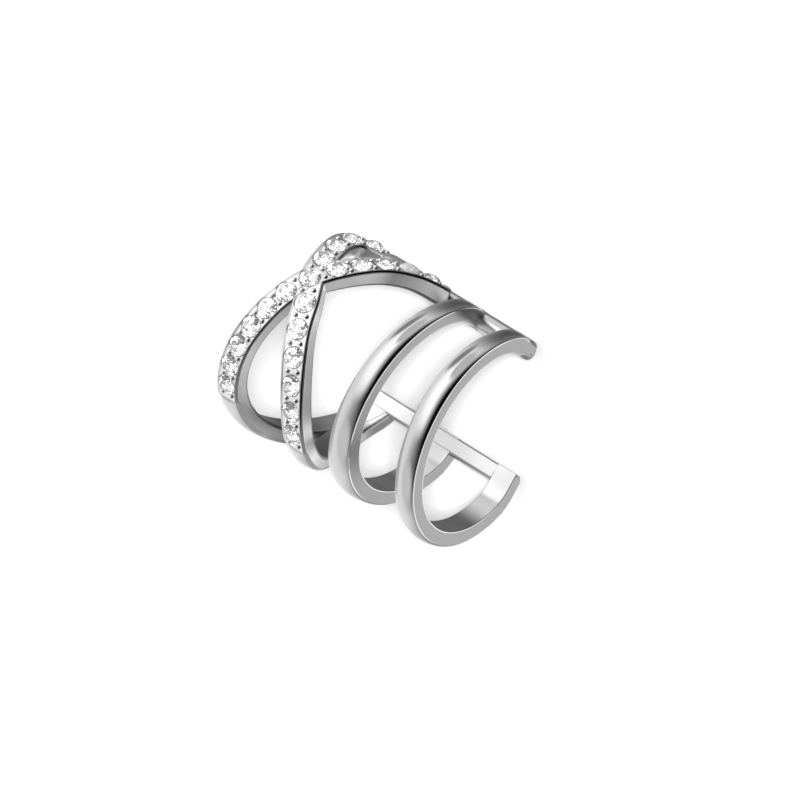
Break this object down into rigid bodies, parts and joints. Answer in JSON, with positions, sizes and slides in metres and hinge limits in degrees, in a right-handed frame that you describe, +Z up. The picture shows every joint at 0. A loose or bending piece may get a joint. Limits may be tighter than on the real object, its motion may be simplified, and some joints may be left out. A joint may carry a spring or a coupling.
{
  "type": "ear cuff",
  "caption": "Open silver ear cuff of plain domed bands and crossing stone-set strands, joined by a rail along each free end; it slips over the edge of the ear.",
  "frame": {"origin": "bottom centre of the bounding box, on the surface that the cuff lies on with its opening down", "axes": "+Y along the cuff's own axis, from the plain front band towards the crossing strands; +Z up, away from the opening; +X square to both, towards the rod rail's side"},
  "size_m": [0.0116, 0.0132, 0.0093],
  "materials": {
    "silver": "rhodium-plated silver, mirror polished outside with satin side faces",
    "stone": "clear faceted brilliants"
  },
  "bodies": {
    "root": {"cuff_frame": "silver", "stone_crossing": "stone", "stone_inner_lower_1": "stone", "stone_inner_lower_2": "stone", "stone_inner_lower_3": "stone", "stone_inner_lower_4": "stone", "stone_inner_lower_5": "stone", "stone_inner_lower_6": "stone", "stone_inner_upper_1": "stone", "stone_inner_upper_2": "stone", "stone_inner_upper_3": "stone", "stone_inner_upper_4": "stone", "stone_outer_lower_1": "stone", "stone_outer_lower_2": "stone", "stone_outer_lower_3": "stone", "stone_outer_lower_4": "stone", "stone_outer_lower_5": "stone", "stone_outer_lower_6": "stone", "stone_outer_upper_1": "stone", "stone_outer_upper_2": "stone", "stone_outer_upper_3": "stone", "stone_outer_upper_4": "stone", "stone_outer_upper_5": "stone"}
  },
  "joints": []
}
